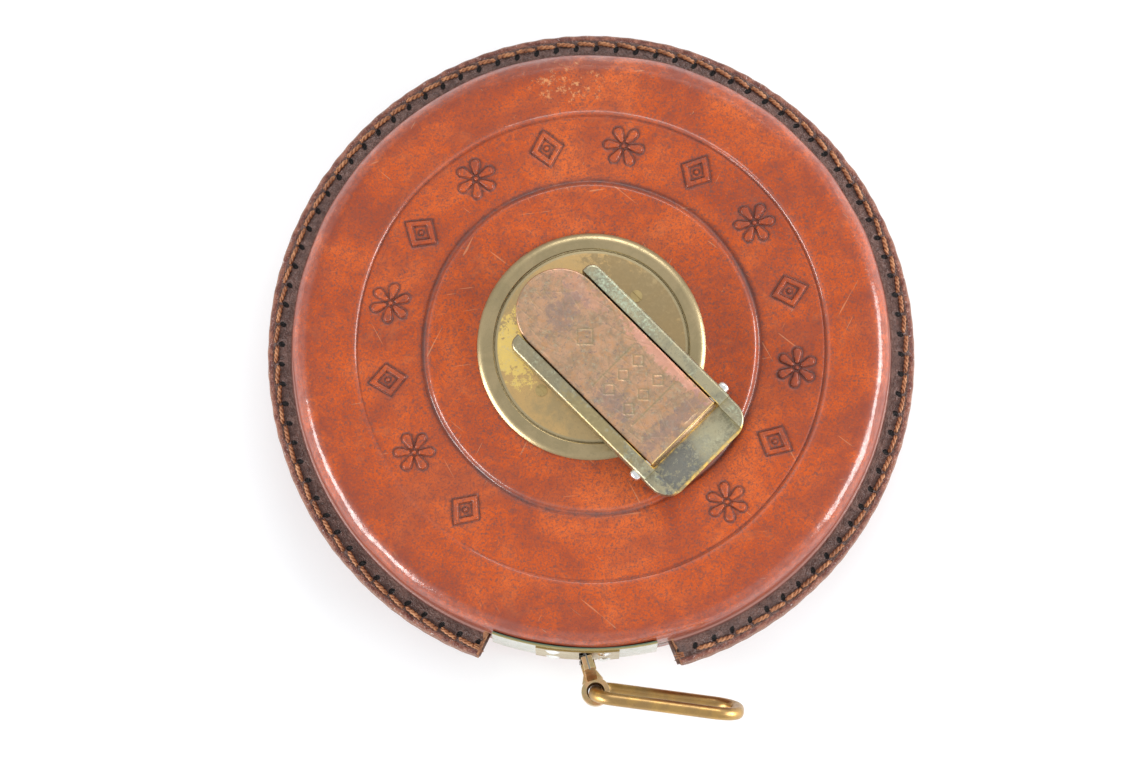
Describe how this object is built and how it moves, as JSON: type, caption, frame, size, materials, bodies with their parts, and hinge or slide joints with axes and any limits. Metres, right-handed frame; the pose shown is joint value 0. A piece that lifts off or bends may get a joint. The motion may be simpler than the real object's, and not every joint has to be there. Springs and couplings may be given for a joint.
{
  "type": "surveyor tape reel",
  "caption": "Round leather-cased surveying tape with sewn rim, brass hub, folding winding crank and a wire finger loop on the tape end.",
  "frame": {"origin": "on the spindle axis, in the plane of the back face that the reel lies on", "axes": "+Z along the spindle towards the crank, -Y towards the mouth that the tape leaves by, +X to the right seen from the crank side"},
  "size_m": [0.14, 0.1495, 0.0368],
  "materials": {
    "case_leather": "glossy, worn",
    "edge_leather": "burnished",
    "thread": "waxed",
    "bezel_brass": "aged satin",
    "hub_brass": "aged, stained",
    "rail_brass": "tarnished with green",
    "arm_copper": "coppery, mottled",
    "loop_brass": "polished by use",
    "plated_sheet": "worn nickel plating",
    "bright_rivet": "bright",
    "inner_brass": "plain",
    "spindle_steel": "turned",
    "tape_steel": "oiled spring steel",
    "core_wood": "turned hardwood",
    "washer_fibre": "vulcanised fibre"
  },
  "bodies": {
    "case": {"front_shell": "case_leather", "back_shell": "case_leather", "seam_welt": "edge_leather", "front_stitches": "thread", "back_stitches": "thread", "bezel": "bezel_brass", "bezel_clinch_ring": "inner_brass", "back_boss": "bezel_brass", "back_boss_washer": "inner_brass", "back_boss_rivets": "inner_brass", "thrust_washer": "washer_fibre", "mouth_plate": "plated_sheet", "mouth_lip": "bezel_brass", "mouth_frame": "inner_brass", "guide_pins": "spindle_steel", "mouth_rivets": "bright_rivet"},
    "drum": {"hub_disc": "hub_brass", "hub_screws": "inner_brass", "spindle": "spindle_steel", "drum_core": "core_wood", "front_flange": "inner_brass", "back_flange": "inner_brass", "flange_screws": "inner_brass", "tape_anchor": "inner_brass", "tape_coil": "tape_steel", "crank_base": "rail_brass", "base_rivets": "inner_brass", "hinge_pin": "bright_rivet"},
    "crank": {"crank_arm": "arm_copper", "knob_stud": "inner_brass"},
    "knob": {"finger_knob": "hub_brass"},
    "tape_end": {"tape_lead": "tape_steel", "end_clip": "rail_brass", "clip_rivets": "inner_brass"},
    "loop": {"finger_loop": "loop_brass"}
  },
  "joints": [
    {"name": "drum_spin", "type": "hinge", "parent": "case", "child": "drum", "pos_m": [0, 0, 0.015], "axis": [0, 0, 1], "continuous": true},
    {"name": "crank_fold", "type": "hinge", "parent": "drum", "child": "crank", "pos_m": [0.01874, -0.01874, 0.0348], "axis": [0.7071, 0.7071, 0], "range_deg": [0, 180]},
    {"name": "knob_spin", "type": "hinge", "parent": "crank", "child": "knob", "pos_m": [-0.00672, 0.00672, 0.0316], "axis": [0, 0, 1], "continuous": true},
    {"name": "tape_pull", "type": "slide", "parent": "case", "child": "tape_end", "axis": [0.2756, -0.9613, 0], "range_m": [0, 0.012]},
    {"name": "loop_swing", "type": "hinge", "parent": "tape_end", "child": "loop", "pos_m": [0.00092, -0.07297, 0.015], "axis": [0, 0, 1], "range_deg": [-165, 12]}
  ]
}
